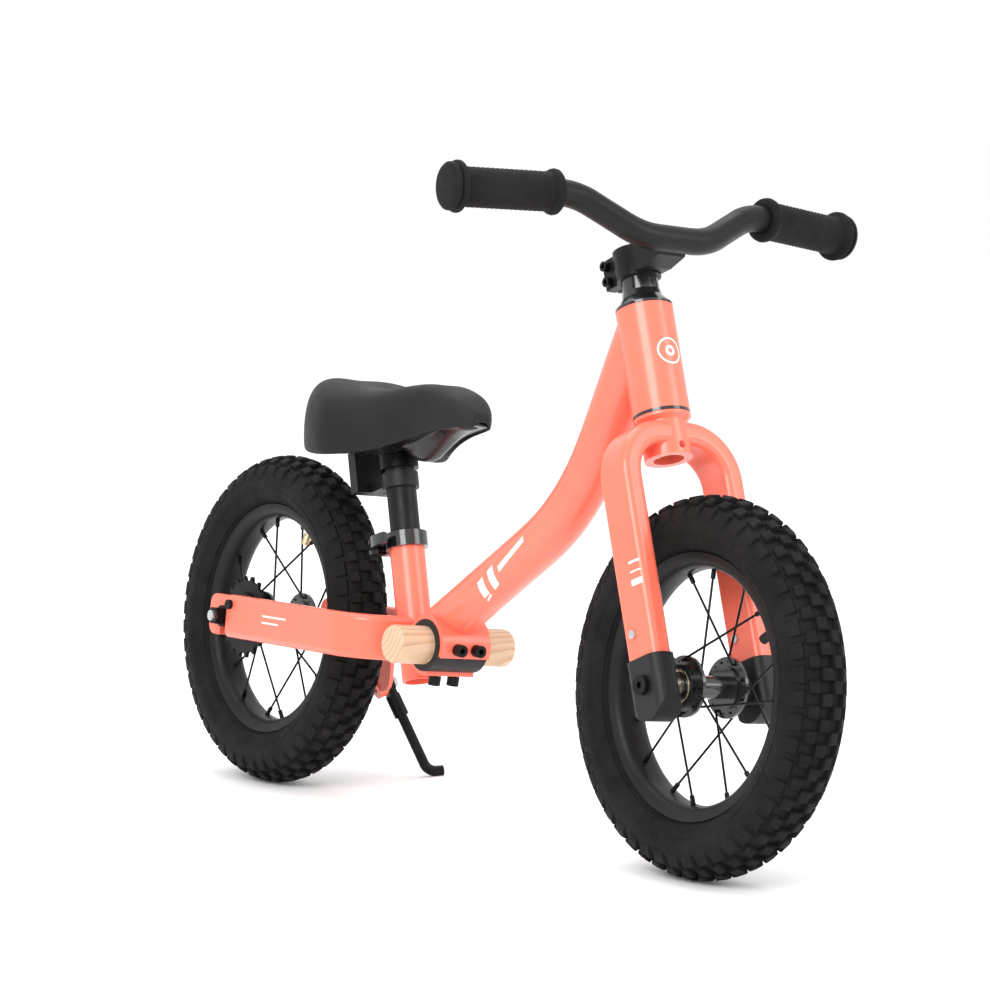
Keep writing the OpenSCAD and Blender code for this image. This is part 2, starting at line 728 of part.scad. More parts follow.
nipple_len = 14;
elbow_swell = 0.03;                        // keeps a spoke's two cylinders apart
module nipple_places(phase) {
  for (i = [0:spoke_count - 1])
    between(spoke_rim(i, phase), 2 * spoke_rim(i, phase) - spoke_hub(i, phase)) children();
}

module tyre(x) on_axle(x) rotate_extrude() {
  bead_w = rim_w / 2 - rim_side;
  bed_r = rim_in_r + rim_bed;
  inner = tyre_section_r - tyre_wall;
  difference() {
    union() {
      translate([tube_ring_r, 0]) circle(tyre_section_r);
      translate([bed_r, -bead_w]) square([tube_ring_r - bed_r, 2 * bead_w]);
    }
    difference() {
      translate([tube_ring_r, 0]) circle(inner);
      translate([0, -tyre_section_r]) square([rim_r + tyre_wall, 2 * tyre_section_r]);
    }
    translate([bed_r - cut, -bead_w + tyre_wall])
      square([tube_ring_r - bed_r, 2 * (bead_w - tyre_wall)]);
    for (s = [-1, 1]) translate([rim_r - 30, s * (bead_w + 15) - 15]) square(30);
    translate([0, -tyre_section_r]) square([bed_r, 2 * tyre_section_r]);
  }
}

module rim(x, phase, valve_angle) on_axle(x) difference() {
  rotate_extrude() difference() {
    translate([rim_in_r, -rim_w / 2]) square([rim_depth, rim_w]);
    translate([rim_in_r + rim_bed, -rim_w / 2 + rim_side])
      square([rim_depth, rim_w - 2 * rim_side]);
  }
  nipple_places(phase) translate([0, 0, -2 * rim_depth])
    cylinder(h = 4 * rim_depth, r = nipple_r);
  rotate([0, 0, valve_angle]) rotate([0, 90, 0]) cylinder(h = 2 * rim_r, r = valve_r);
}

module spokes(x, phase) on_axle(x) for (i = [0:spoke_count - 1]) {
  head = spoke_head(i, phase);
  elbow = spoke_hub(i, phase);
  between(head, elbow) cylinder(h = norm(elbow - head) + spoke_r / 2, r = spoke_r + elbow_swell);
  between(elbow, spoke_rim(i, phase))
    cylinder(h = norm(spoke_rim(i, phase) - elbow), r = spoke_r);
}

module nipples(x, phase) on_axle(x) nipple_places(phase)
  translate([0, 0, -nipple_len + 1]) ring(nipple_r, spoke_r, nipple_len - 1);

module hub(x, phase, boss) on_axle(x) difference() {
  union() {
    cylinder(h = 2 * flange_y, r = 9.5, center = true);
    for (s = [-1, 1]) {
      translate([0, 0, s * flange_y]) cylinder(h = flange_w, r = flange_r, center = true);
      translate([0, 0, s * (bearing_out - (bearing_w + 3) / 2)])
        cylinder(h = bearing_w + 3, r = housing_r, center = true);
    }
    translate([0, 0, flange_y]) cylinder(h = bearing_out - flange_y + boss, r = boss_r);
  }
  cylinder(h = 4 * bearing_out, r = axle_r + 1.5, center = true);
  for (s = [0, 180]) rotate([s, 0, 0]) translate([0, 0, bearing_out - bearing_w])
    cylinder(h = 4 * bearing_w, r = bearing_r);
  for (i = [0:spoke_count - 1]) translate(polar(spoke_circle_r, hub_angle(i, phase), 0))
    cylinder(h = 4 * flange_y, r = spoke_r + elbow_swell, center = true);
}
boss_r = bearing_r + 2.5;                   // seat of the freewheel

module bearings(x) on_axle(x) for (s = [-1, 1])
  translate([0, 0, s * (bearing_out - bearing_w / 2) - bearing_w / 2])
    ring(bearing_r, axle_r + running_gap, bearing_w);

valve_r = 3.2;
valve_len = 16;
module valve(x, angle) on_axle(x) rotate([0, 0, angle]) rotate([0, 90, 0]) {
  translate([0, 0, rim_in_r - valve_len]) cylinder(h = valve_len + rim_bed, r = valve_r);
  translate([0, 0, rim_in_r - valve_len]) cylinder(h = 9, r = valve_r + 0.9);
}

module front_tyre() color(rubber) parked() tyre(wheelbase);
module front_rim() color(black) parked() rim(wheelbase, 0, front_valve_angle);
module front_spokes() color(black) parked() spokes(wheelbase, 0);
module front_nipples() color(black) parked() nipples(wheelbase, 0);
module front_hub() color(black) parked() hub(wheelbase, 0, 0);
module front_bearings() color(brass) parked() bearings(wheelbase);
module front_valve() color(black) parked() valve(wheelbase, front_valve_angle);

module rear_tyre() color(rubber) parked() tyre(0);
module rear_rim() color(black) parked() rim(0, rear_spoke_phase, rear_valve_angle);
module rear_spokes() color(black) parked() spokes(0, rear_spoke_phase);
module rear_nipples() color(black) parked() nipples(0, rear_spoke_phase);
module rear_hub() color(black) parked() hub(0, rear_spoke_phase, boss_len);
module rear_bearings() color(brass) parked() bearings(0);
module rear_valve() color(brass) parked() valve(0, rear_valve_angle);

boss_len = 17;                             // freewheel seat outside the right bearing
tooth_count = 18;
tooth_tip_r = 38.5;
tooth_root_r = 34.2;
sprocket_w = 3;
module rear_sprocket() color(black) parked() on_axle(0)
  translate([0, 0, bearing_out + 1]) difference() {
    union() {
      cylinder(h = boss_len - 2, r = 23);
      translate([0, 0, boss_len - 2 - 2 * sprocket_w]) linear_extrude(sprocket_w) {
        circle(tooth_root_r);
        for (i = [0:tooth_count - 1]) rotate(i * 360 / tooth_count)
          polygon([[tooth_root_r - 2, -3.6], [tooth_tip_r, -1.1],
                   [tooth_tip_r, 1.1], [tooth_root_r - 2, 3.6]]);
      }
    }
    translate([0, 0, -cut]) cylinder(h = 2 * boss_len, r = boss_r + running_gap);
  }

// ---------- saddle and reflector ----------

module seatpost() color(zinc) parked() on_seat(post_low)
  ring(post_r, post_r - 2.4, post_end - post_low);

module saddle_clamp() color(black) parked() difference() {
  on_seat(post_end - 9) cylinder(h = 30, r = post_r + 4);
  on_seat(0) cylinder(h = post_end, r = post_r);
  translate([0, -100, saddle_low]) cube([300, 200, 100]);
}

// outline of the saddle: two round lobes behind and a round nose in front
module saddle_plan(inset) hull() {
  lobe = saddle_w / 2 - 14;
  for (s = [-1, 1]) translate([saddle_x + lobe, s * 14]) circle(lobe - inset, $fn = 48);
  translate([saddle_x + saddle_len * 0.63, 0]) circle(33 - inset, $fn = 48);
  translate([saddle_x + saddle_len - 28, 0]) circle(28 - inset, $fn = 48);
}

saddle_inset = 9;
module base_form(low) translate([0, 0, low])
  linear_extrude(saddle_low + 14 - low) saddle_plan(saddle_inset);

module saddle_base() color(black) parked() {
  base_form(saddle_low);
  translate([saddle_x + 150, -12, saddle_low - 6]) cube([24, 24, 6]);
}

module saddle_cover() color(black) parked() difference() {
  hull() {
    translate([0, 0, saddle_low]) linear_extrude(24) saddle_plan(2);
    translate([0, 0, saddle_low + 10]) linear_extrude(26) saddle_plan(0);
    translate([0, 0, saddle_low + saddle_h - 10]) linear_extrude(4) saddle_plan(5);
    translate([0, 0, saddle_low + saddle_h - 3]) linear_extrude(1) saddle_plan(16);
  }
  base_form(saddle_low - cut);
}

housing_t = 184;
housing_x = -52;
module reflector_housing() color(black) parked() on_seat() difference() {
  union() {
    translate([housing_x + 2.5, -21, housing_t]) cube([11, 42, 38]);
    translate([housing_x + 10, -6, housing_t]) cube([-housing_x - 10 - post_r, 12, 8]);
    translate([0, 0, housing_t - 6]) cylinder(h = 14, r = post_r + 3);
  }
  cylinder(h = 2 * post_end, r = post_r);
}

module reflector_lens() color([0.75, 0.05, 0.05]) parked() on_seat()
  translate([housing_x, -lens_w / 2, housing_t + 2]) cube([2.5, lens_w, 34]);

head_tube();
main_tube();
seat_tube();
chainstay_right();
chainstay_left();
dropout_right();
dropout_left();
footrest_shell();
footrest_sleeve();
footrest_dowel();
footrest_bolts();
kickstand_plate();
kickstand_pivot();
headset_bearings();
headset_lower_ring();
seat_clamp_collar();
seat_clamp_skewer();
rear_axle();
rear_axle_nuts();
dropout_bolts();
seat_clamp_lever();
kickstand_sleeve();
kickstand_rod();
fork_crown();
steerer_tube();
fork_leg_right();
fork_leg_left();
fork_cover_right();
fork_cover_left();
fork_cover_screws();
front_axle();
front_axle_bolts();
headset_top_cover();
headset_spacer();
stem();
stem_bolts();
handlebar();
grip_right();
grip_left();
front_tyre();
front_rim();
front_spokes();
front_nipples();
front_hub();
front_bearings();
front_valve();
rear_tyre();
rear_rim();
rear_spokes();
rear_nipples();
rear_hub();
rear_bearings();
rear_valve();
rear_sprocket();
seatpost();
saddle_clamp();
saddle_base();
saddle_cover();
reflector_housing();
reflector_lens();
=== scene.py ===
# %% [markdown]
# # A child's balance bike, dressed for the studio
# The bike comes in as finished engineering parts that already sit in the right place. This notebook
# gives each part its real surface and adds the detail that the parts leave out: knobbly tyres, laced
# spokes, a stuffed saddle, diamond grips. The first step loads the parts.

# %% Load the bike
import json
import math

import bpy
import bmesh
from mathutils import Matrix, Quaternion, Vector


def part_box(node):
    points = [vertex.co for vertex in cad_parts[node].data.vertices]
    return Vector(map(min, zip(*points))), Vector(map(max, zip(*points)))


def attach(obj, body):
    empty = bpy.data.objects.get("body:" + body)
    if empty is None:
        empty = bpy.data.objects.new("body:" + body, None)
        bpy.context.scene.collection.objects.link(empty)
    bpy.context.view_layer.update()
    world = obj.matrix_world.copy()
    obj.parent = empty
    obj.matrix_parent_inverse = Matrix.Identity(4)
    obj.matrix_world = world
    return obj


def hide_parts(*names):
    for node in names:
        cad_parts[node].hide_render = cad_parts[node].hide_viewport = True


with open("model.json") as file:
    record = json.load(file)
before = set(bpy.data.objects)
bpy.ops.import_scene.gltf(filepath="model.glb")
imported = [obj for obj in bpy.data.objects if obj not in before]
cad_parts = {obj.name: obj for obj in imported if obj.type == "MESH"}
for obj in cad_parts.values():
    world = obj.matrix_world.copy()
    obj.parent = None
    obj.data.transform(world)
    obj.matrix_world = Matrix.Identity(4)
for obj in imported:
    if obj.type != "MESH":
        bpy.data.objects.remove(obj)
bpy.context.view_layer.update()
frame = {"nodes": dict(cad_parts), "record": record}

nodes = frame["nodes"]
joints = {joint["name"]: joint for joint in frame["record"]["behaviour"]["joints"]}

# %% [markdown]
# ## Where things are
# The bike leans on its stand, so nothing on it is square to the room. It is easier to think of it
# standing upright and to let one matrix lean it over. The wheel's axle gives the sideways
# direction, and the tyre's box gives its radius. The wheels and the steering get a matrix each in
# the same way, from the directions their joints turn in.

# %% Frames of the bike, its wheels and the steering
def frame_matrix(origin, x, y, z):
    rows = [(x[i], y[i], z[i], origin[i]) for i in range(3)]
    return Matrix(rows + [(0, 0, 0, 1)])


def joint_pos(name):
    return Vector(joints[name]["pos_m"])


def joint_axis(name):
    return Vector(joints[name]["axis"]).normalized()


FORWARD = Vector((1, 0, 0))
LEFT = joint_axis("rear_wheel_spin")
UP = FORWARD.cross(LEFT)
tyre_low, tyre_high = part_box("rear_tyre")
TYRE_R = (tyre_high[0] - tyre_low[0]) / 2
REAR = joint_pos("rear_wheel_spin")
FRONT = joint_pos("front_wheel_spin")
STEER_UP = joint_axis("steering")
BIKE = frame_matrix(REAR - UP * TYRE_R, FORWARD, LEFT, UP)
REAR_WHEEL = frame_matrix(REAR, FORWARD, LEFT, UP)
FRONT_WHEEL = frame_matrix(FRONT, FORWARD, LEFT, UP)
STEER = frame_matrix(FRONT, LEFT.cross(STEER_UP), LEFT, STEER_UP)
WHEELBASE = (FRONT - REAR).length
MM = 0.001
print("tyre radius", round(TYRE_R, 4), "wheelbase", round(WHEELBASE, 4))

# %% [markdown]
# ## Camera, floor and light
# A long lens from the front right, a little above the handlebar, keeps the bike's proportions
# true. The floor is one pale sheet far larger than the bike, under a nearly white sky, and three
# big soft lamps leave only a faint shadow under the tyres.

# %% Camera
CAMERA_AT = Vector((2.505, -1.817, 0.618))
CAMERA_BACK = Vector((0.810, -0.577, 0.107)).normalized()
CAMERA_ROLL = math.radians(-2.8)
camera_data = bpy.data.cameras.new("camera")
camera_data.lens = 128.4
camera_data.sensor_width = 36
camera = bpy.data.objects.new("camera", camera_data)
bpy.context.scene.collection.objects.link(camera)
turn = (-CAMERA_BACK).to_track_quat("-Z", "Y") @ Quaternion((0, 0, 1), CAMERA_ROLL)
camera.matrix_world = Matrix.Translation(CAMERA_AT) @ turn.to_matrix().to_4x4()
bpy.context.scene.camera = camera
print("camera at", tuple(round(v, 2) for v in CAMERA_AT))

# %% Floor and lamps
FLOOR_SIZE = 60


def new_object(name, mesh):
    piece = bpy.data.objects.new(name, mesh)
    bpy.context.scene.collection.objects.link(piece)
    return piece


def plain_shader(name, color, roughness):
    material = bpy.data.materials.new(name)
    material.use_nodes = True
    shader = material.node_tree.nodes["Principled BSDF"]
    shader.inputs["Base Color"].default_value = (*color, 1)
    shader.inputs["Roughness"].default_value = roughness
    return material


half = FLOOR_SIZE / 2
floor_mesh = bpy.data.meshes.new("floor")
corners = [(-half, -half, 0), (half, -half, 0), (half, half, 0), (-half, half, 0)]
floor_mesh.from_pydata(corners, [], [(0, 1, 2, 3)])
floor = new_object("floor", floor_mesh)
floor.data.materials.append(plain_shader("floor_paper", (0.99, 0.99, 0.99), 0.9))

bpy.context.scene.view_settings.view_transform = "Standard"
world = bpy.data.worlds.new("studio")
bpy.context.scene.world = world
world.use_nodes = True
world.node_tree.nodes["Background"].inputs["Color"].default_value = (1, 1, 1, 1)
world.node_tree.nodes["Background"].inputs["Strength"].default_value = 1.02


def soft_lamp(name, place, target, size, power):
    data = bpy.data.lights.new(name, "AREA")
    data.shape = "SQUARE"
    data.size = size
    data.energy = power
    lamp = bpy.data.objects.new(name, data)
    bpy.context.scene.collection.objects.link(lamp)
    aim = (Vector(target) - Vector(place)).to_track_quat("-Z", "Y")
    lamp.matrix_world = Matrix.Translation(place) @ aim.to_matrix().to_4x4()
    return lamp


LOOK_AT = (0, 0, 0.3)
soft_lamp("key_lamp", (1.6, -2.6, 2.6), LOOK_AT, 1.8, 75)
soft_lamp("fill_lamp", (2.8, 1.8, 1.6), LOOK_AT, 1.6, 30)
soft_lamp("top_lamp", (-0.6, 0.4, 3.0), LOOK_AT, 2.4, 45)
print("floor and 3 lamps")

# %% [markdown]
# ## Finishes
# Every finish is a small node tree that reads Object coordinates, so the pattern stays on the
# part when it moves. One helper builds all but the wood: a colour that wanders a little between
# two shades, a roughness that wanders too, and a fine bump. What differs between powder coat,
# rubber and alloy is mostly the size of the grain and how rough the surface is.

# %% Finish helper
def node(tree, kind, **settings):
    made = tree.nodes.new(kind)
    for key, value in settings.items():
        setattr(made, key, value)
    return made


def finish(name, shade_a, shade_b, rough=(0.4, 0.5), grain=900, bump=0.05, patch=9,
           metallic=0.0, coat=0.0, grain_kind="noise", shine=0.5):
    """A finish with patchy colour, patchy roughness and a fine bump."""
    material = bpy.data.materials.new(name)
    material.use_nodes = True
    tree = material.node_tree
    link = tree.links.new
    shader = tree.nodes["Principled BSDF"]
    shader.inputs["Metallic"].default_value = metallic
    shader.inputs["Coat Weight"].default_value = coat
    shader.inputs["Coat Roughness"].default_value = 0.12
    shader.inputs["Specular IOR Level"].default_value = shine
    place = node(tree, "ShaderNodeTexCoord")
    patches = node(tree, "ShaderNodeTexNoise")
    patches.inputs["Scale"].default_value = patch
    patches.inputs["Detail"].default_value = 4
    link(place.outputs["Object"], patches.inputs["Vector"])
    shades = node(tree, "ShaderNodeValToRGB")
    shades.color_ramp.elements[0].position = 0.35
    shades.color_ramp.elements[0].color = (*shade_a, 1)
    shades.color_ramp.elements[1].position = 0.65
    shades.color_ramp.elements[1].color = (*shade_b, 1)
    link(patches.outputs["Fac"], shades.inputs["Fac"])
    link(shades.outputs["Color"], shader.inputs["Base Color"])
    wear = node(tree, "ShaderNodeMapRange")
    wear.inputs["From Min"].default_value = 0.3
    wear.inputs["From Max"].default_value = 0.7
    wear.inputs["To Min"].default_value = rough[0]
    wear.inputs["To Max"].default_value = rough[1]
    smear = node(tree, "ShaderNodeTexNoise")
    smear.inputs["Scale"].default_value = patch * 6
    smear.inputs["Detail"].default_value = 3
    link(place.outputs["Object"], smear.inputs["Vector"])
    link(smear.outputs["Fac"], wear.inputs["Value"])
    link(wear.outputs["Result"], shader.inputs["Roughness"])
    if grain_kind == "noise":
        fine = node(tree, "ShaderNodeTexNoise")
        fine.inputs["Detail"].default_value = 2
        height = fine.outputs["Fac"]
    else:
        fine = node(tree, "ShaderNodeTexVoronoi")
        height = fine.outputs["Distance"]
    fine.inputs["Scale"].default_value = grain
    link(place.outputs["Object"], fine.inputs["Vector"])
    relief = node(tree, "ShaderNodeBump")
    relief.inputs["Strength"].default_value = bump
    relief.inputs["Distance"].default_value = 0.0005
    link(height, relief.inputs["Height"])
    link(relief.outputs["Normal"], shader.inputs["Normal"])
    return material


# %% The plain finishes
coral = finish("coral_powder_coat", (0.92, 0.155, 0.092), (0.95, 0.175, 0.108),
               rough=(0.30, 0.38), grain=1400, bump=0.05, coat=0.35)
tyre_rubber = finish("tyre_rubber", (0.007, 0.007, 0.007), (0.013, 0.012, 0.012),
                     rough=(0.55, 0.75), grain=1800, bump=0.25, patch=30, shine=0.10)
grip_rubber = finish("grip_rubber", (0.008, 0.008, 0.008), (0.013, 0.013, 0.013),
                     rough=(0.6, 0.75), grain=2200, bump=0.2, patch=25, shine=0.12)
sleeve_rubber = finish("sleeve_rubber", (0.012, 0.012, 0.013), (0.018, 0.018, 0.019),
                       rough=(0.45, 0.6), grain=1600, bump=0.15, patch=20, shine=0.3)
satin_black = finish("satin_black_alloy", (0.006, 0.006, 0.006), (0.011, 0.011, 0.011),
                     rough=(0.34, 0.46), grain=1700, bump=0.12, patch=16, shine=0.2)
gloss_black = finish("gloss_black_anodising", (0.006, 0.006, 0.007), (0.012, 0.012, 0.013),
                     rough=(0.12, 0.22), grain=600, bump=0.03, patch=20, coat=0.6)
black_oxide = finish("black_oxide_steel", (0.005, 0.005, 0.006), (0.011, 0.010, 0.010),
                     rough=(0.28, 0.5), grain=1300, bump=0.15, patch=60, metallic=0.6, shine=0.3)
covers_plastic = finish("moulded_black_plastic", (0.007, 0.007, 0.008), (0.012, 0.012, 0.013),
                        rough=(0.38, 0.5), grain=2400, bump=0.2, patch=20, shine=0.3)
base_plastic = finish("glossy_base_plastic", (0.005, 0.005, 0.006), (0.010, 0.010, 0.011),
                      rough=(0.2, 0.32), grain=1500, bump=0.06, patch=20, shine=0.4)
zinc = finish("zinc_plated_steel", (0.50, 0.54, 0.56), (0.66, 0.69, 0.70),
              rough=(0.22, 0.4), grain=1200, bump=0.08, patch=120, metallic=1.0)
brass = finish("bearing_brass", (0.62, 0.52, 0.30), (0.78, 0.68, 0.45),
               rough=(0.18, 0.32), grain=900, bump=0.05, patch=90, metallic=1.0)
bare_steel = finish("turned_steel", (0.35, 0.35, 0.36), (0.5, 0.5, 0.51),
                    rough=(0.25, 0.4), grain=1000, bump=0.06, patch=80, metallic=1.0)
vinyl = finish("saddle_vinyl", (0.010, 0.010, 0.011), (0.016, 0.016, 0.017),
               rough=(0.5, 0.62), grain=900, bump=0.35, patch=14, grain_kind="cells", shine=0.2)
red_lens = finish("red_reflector", (0.42, 0.004, 0.006), (0.62, 0.010, 0.012),
                  rough=(0.08, 0.16), grain=420, bump=0.8, patch=200, coat=0.8,
                  grain_kind="cells")
print("14 finishes")

# %% [markdown]
# ## Pine
# The foot rest is a turned pine dowel. Its grain is a set of rings about an axis that runs beside
# the dowel, stretched along the dowel, so the ends show curved rings and the side shows long
# flame-shaped lines.

# %% Pine finish
def pine(name):
    material = bpy.data.materials.new(name)
    material.use_nodes = True
    tree = material.node_tree
    link = tree.links.new
    shader = tree.nodes["Principled BSDF"]
    shader.inputs["Coat Weight"].default_value = 0.15
    place = node(tree, "ShaderNodeTexCoord")
    lean = node(tree, "ShaderNodeMapping")
    lean.inputs["Location"].default_value = (0.062, 0, -0.178)
    lean.inputs["Scale"].default_value = (1, 0.05, 1)
    link(place.outputs["Object"], lean.inputs["Vector"])
    rings = node(tree, "ShaderNodeTexWave", wave_type="RINGS", rings_direction="Y",
                 wave_profile="SAW")
    rings.inputs["Scale"].default_value = 62
    rings.inputs["Distortion"].default_value = 2.2
    rings.inputs["Detail"].default_value = 2
    rings.inputs["Detail Scale"].default_value = 0.35
    link(lean.outputs["Vector"], rings.inputs["Vector"])
    shades = node(tree, "ShaderNodeValToRGB")
    shades.color_ramp.elements[0].color = (0.72, 0.50, 0.33, 1)
    shades.color_ramp.elements[1].color = (0.58, 0.36, 0.20, 1)
    shades.color_ramp.elements[0].position = 0.45
    shades.color_ramp.elements[1].position = 0.95
    link(rings.outputs["Fac"], shades.inputs["Fac"])
    fibre_place = node(tree, "ShaderNodeMapping")
    fibre_place.inputs["Scale"].default_value = (900, 40, 900)
    link(place.outputs["Object"], fibre_place.inputs["Vector"])
    fibres = node(tree, "ShaderNodeTexNoise")
    fibres.inputs["Scale"].default_value = 1
    link(fibre_place.outputs["Vector"], fibres.inputs["Vector"])
    blend = node(tree, "ShaderNodeMix", data_type="RGBA", blend_type="MULTIPLY")
    blend.inputs[0].default_value = 0.25
    link(shades.outputs["Color"], blend.inputs[6])
    link(fibres.outputs["Color"], blend.inputs[7])
    link(blend.outputs[2], shader.inputs["Base Color"])
    gloss = node(tree, "ShaderNodeMapRange")
    gloss.inputs["To Min"].default_value = 0.35
    gloss.inputs["To Max"].default_value = 0.55
    link(fibres.outputs["Fac"], gloss.inputs["Value"])
    link(gloss.outputs["Result"], shader.inputs["Roughness"])
    relief = node(tree, "ShaderNodeBump")
    relief.inputs["Strength"].default_value = 0.15
    relief.inputs["Distance"].default_value = 0.0004
    link(fibres.outputs["Fac"], relief.inputs["Height"])
    link(relief.outputs["Normal"], shader.inputs["Normal"])
    return material


wood = pine("turned_pine")
print("pine finish")

# %% [markdown]
# ## Finishes on the engineering parts
# Parts that already look right keep their shape and only get a finish. The rest are replaced
# further down by more detailed pieces, and those carry their own finish.

# %% Paint the parts that stay
KEPT = {
    coral: ["head_tube", "main_tube", "seat_tube", "chainstay_right", "chainstay_left",
            "dropout_right", "dropout_left", "footrest_shell", "kickstand_plate",
            "fork_crown", "fork_leg_right", "fork_leg_left"],
    wood: ["footrest_dowel"],
    sleeve_rubber: ["footrest_sleeve"],
    covers_plastic: ["fork_cover_right", "fork_cover_left"],
    zinc: ["rear_axle", "fork_cover_screws"],
    brass: ["headset_bearings"],
    bare_steel: ["steerer_tube", "front_axle", "kickstand_pivot"],
    black_oxide: ["footrest_bolts", "seat_clamp_skewer", "dropout_bolts", "kickstand_rod",
                  "kickstand_sleeve", "rear_axle_nuts", "front_axle_bolts", "stem_bolts",
                  "saddle_clamp", "rear_sprocket"],
    satin_black: ["stem", "handlebar", "seatpost"],
    gloss_black: ["headset_lower_ring", "headset_top_cover", "headset_spacer",
                  "seat_clamp_collar", "seat_clamp_lever"],
}


def paint(name, material):
    """Gives one engineering part its finish."""
    part = nodes[name]
    part.data.materials.clear()
    part.data.materials.append(material)
    for face in part.data.polygons:
        face.material_index = 0


painted = 0
for material, names in KEPT.items():
    for name in names:
        paint(name, material)
        painted += 1
print("painted", painted, "parts")

# %% [markdown]
# ## Repeating things round an axle
# A wheel is one small piece repeated many times. The node tree below makes a ring of points,
# turns each one outward, drops the same piece on every point and bakes the result into one plain
# mesh. The count, the phase and the finish are named inputs, so both tyres' treads come from the
# same tree.

# %% A node tree that repeats a piece round an axle
def radial_tree():
    tree = bpy.data.node_groups.new("repeat_round_the_axle", "GeometryNodeTree")
    face = tree.interface
    face.new_socket("Piece", in_out="INPUT", socket_type="NodeSocketObject")
    face.new_socket("Count", in_out="INPUT", socket_type="NodeSocketInt")
    face.new_socket("Phase", in_out="INPUT", socket_type="NodeSocketFloat")
    face.new_socket("Finish", in_out="INPUT", socket_type="NodeSocketMaterial")
    face.new_socket("Geometry", in_out="OUTPUT", socket_type="NodeSocketGeometry")
    link = tree.links.new
    given = node(tree, "NodeGroupInput")
    points = node(tree, "GeometryNodePoints")
    link(given.outputs["Count"], points.inputs["Count"])
    index = node(tree, "GeometryNodeInputIndex")
    share = node(tree, "ShaderNodeMath", operation="DIVIDE")
    link(index.outputs["Index"], share.inputs[0])
    link(given.outputs["Count"], share.inputs[1])
    full_turn = node(tree, "ShaderNodeMath", operation="MULTIPLY_ADD")
    full_turn.inputs[1].default_value = math.tau
    link(share.outputs[0], full_turn.inputs[0])
    link(given.outputs["Phase"], full_turn.inputs[2])
    turn_vector = node(tree, "ShaderNodeCombineXYZ")
    link(full_turn.outputs[0], turn_vector.inputs["Y"])
    piece = node(tree, "GeometryNodeObjectInfo")
    link(given.outputs["Piece"], piece.inputs["Object"])
    copies = node(tree, "GeometryNodeInstanceOnPoints")
    link(points.outputs[0], copies.inputs["Points"])
    link(piece.outputs["Geometry"], copies.inputs["Instance"])
    link(turn_vector.outputs[0], copies.inputs["Rotation"])
    real = node(tree, "GeometryNodeRealizeInstances")
    link(copies.outputs[0], real.inputs[0])
    dressed = node(tree, "GeometryNodeSetMaterial")
    link(real.outputs[0], dressed.inputs["Geometry"])
    link(given.outputs["Finish"], dressed.inputs["Material"])
    result = node(tree, "NodeGroupOutput")
    link(dressed.outputs[0], result.inputs[0])
    return tree


RADIAL = radial_tree()


def socket_id(tree, name):
    return next(item.identifier for item in tree.interface.items_tree
                if item.name == name and item.in_out == "INPUT")


def mesh_from(vertices, faces, name="piece"):
    mesh = bpy.data.meshes.new(name)
    mesh.from_pydata([tuple(v) for v in vertices], [], faces)
    mesh.validate()
    return mesh


def around(mesh, count, phase, material):
    """Repeats a mesh round the Y axis and returns the plain mesh."""
    seed = new_object("seed", mesh)
    carrier = new_object("carrier", bpy.data.meshes.new("carrier"))
    modifier = carrier.modifiers.new("repeat", "NODES")
    modifier.node_group = RADIAL
    modifier[socket_id(RADIAL, "Piece")] = seed
    modifier[socket_id(RADIAL, "Count")] = count
    modifier[socket_id(RADIAL, "Phase")] = phase
    modifier[socket_id(RADIAL, "Finish")] = material
    depsgraph = bpy.context.evaluated_depsgraph_get()
    baked = bpy.data.meshes.new_from_object(carrier.evaluated_get(depsgraph))
    carrier.modifiers.clear()
    bpy.data.objects.remove(carrier)
    bpy.data.objects.remove(seed)
    return baked


# %% Small mesh helpers
def revolve(profile, steps):
    """Spins a closed (r, y) outline round the Y axis, from X at 0 to Z at 90 degrees."""
    count = len(profile)
    vertices = []
    for s in range(steps):
        a = math.tau * s / steps
        vertices += [(r * math.cos(a), y, r * math.sin(a)) for r, y in profile]
    faces = []
    for s in range(steps):
        here, there = s * count, (s + 1) % steps * count
        for i in range(count):
            j = (i + 1) % count
            faces.append((here + i, here + j, there + j, there + i))
    return mesh_from(vertices, faces)


def outward(mesh):
    """Turns every face of a mesh to look outward."""
    bm = bmesh.new()
    bm.from_mesh(mesh)
    bmesh.ops.recalc_face_normals(bm, faces=bm.faces)
    bm.to_mesh(mesh)
    bm.free()
    return mesh


def joined(meshes, name):
    """One mesh out of several; materials are kept."""
    bm = bmesh.new()
    slots = []
    for mesh in meshes:
        start = len(bm.faces)
        bm.from_mesh(mesh)
        bm.faces.ensure_lookup_table()
        table = []
        for material in list(mesh.materials) or [None]:
            if material not in slots:
                slots.append(material)
            table.append(slots.index(material))
        for face in bm.faces[start:]:
            face.material_index = table[min(face.material_index, len(table) - 1)]
    whole = bpy.data.meshes.new(name)
    bm.to_mesh(whole)
    bm.free()
    for material in slots:
        if material is not None:
            whole.materials.append(material)
    return whole


def smooth(mesh, angle=40):
    """Smooth shading, with every fold sharper than the angle kept crisp."""
    bm = bmesh.new()
    bm.from_mesh(mesh)
    limit = math.radians(angle)
    for face in bm.faces:
        face.smooth = True
    for edge in bm.edges:
        edge.smooth = len(edge.link_faces) == 2 and edge.calc_face_angle(0) < limit
    bm.to_mesh(mesh)
    bm.free()
    return mesh


def dressed(mesh, material):
    mesh.materials.clear()
    mesh.materials.append(material)
    return mesh


def hand_over(name, mesh, place, body, replaced=(), angle=40):
    """Puts a finished mesh in the scene under the empty of the body it is part of."""
    mesh.transform(place)
    outward(mesh)
    smooth(mesh, angle)
    piece = new_object(name, mesh)
    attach(piece, body)
    if replaced:
        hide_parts(*replaced)
    return piece


print("mesh helpers ready")

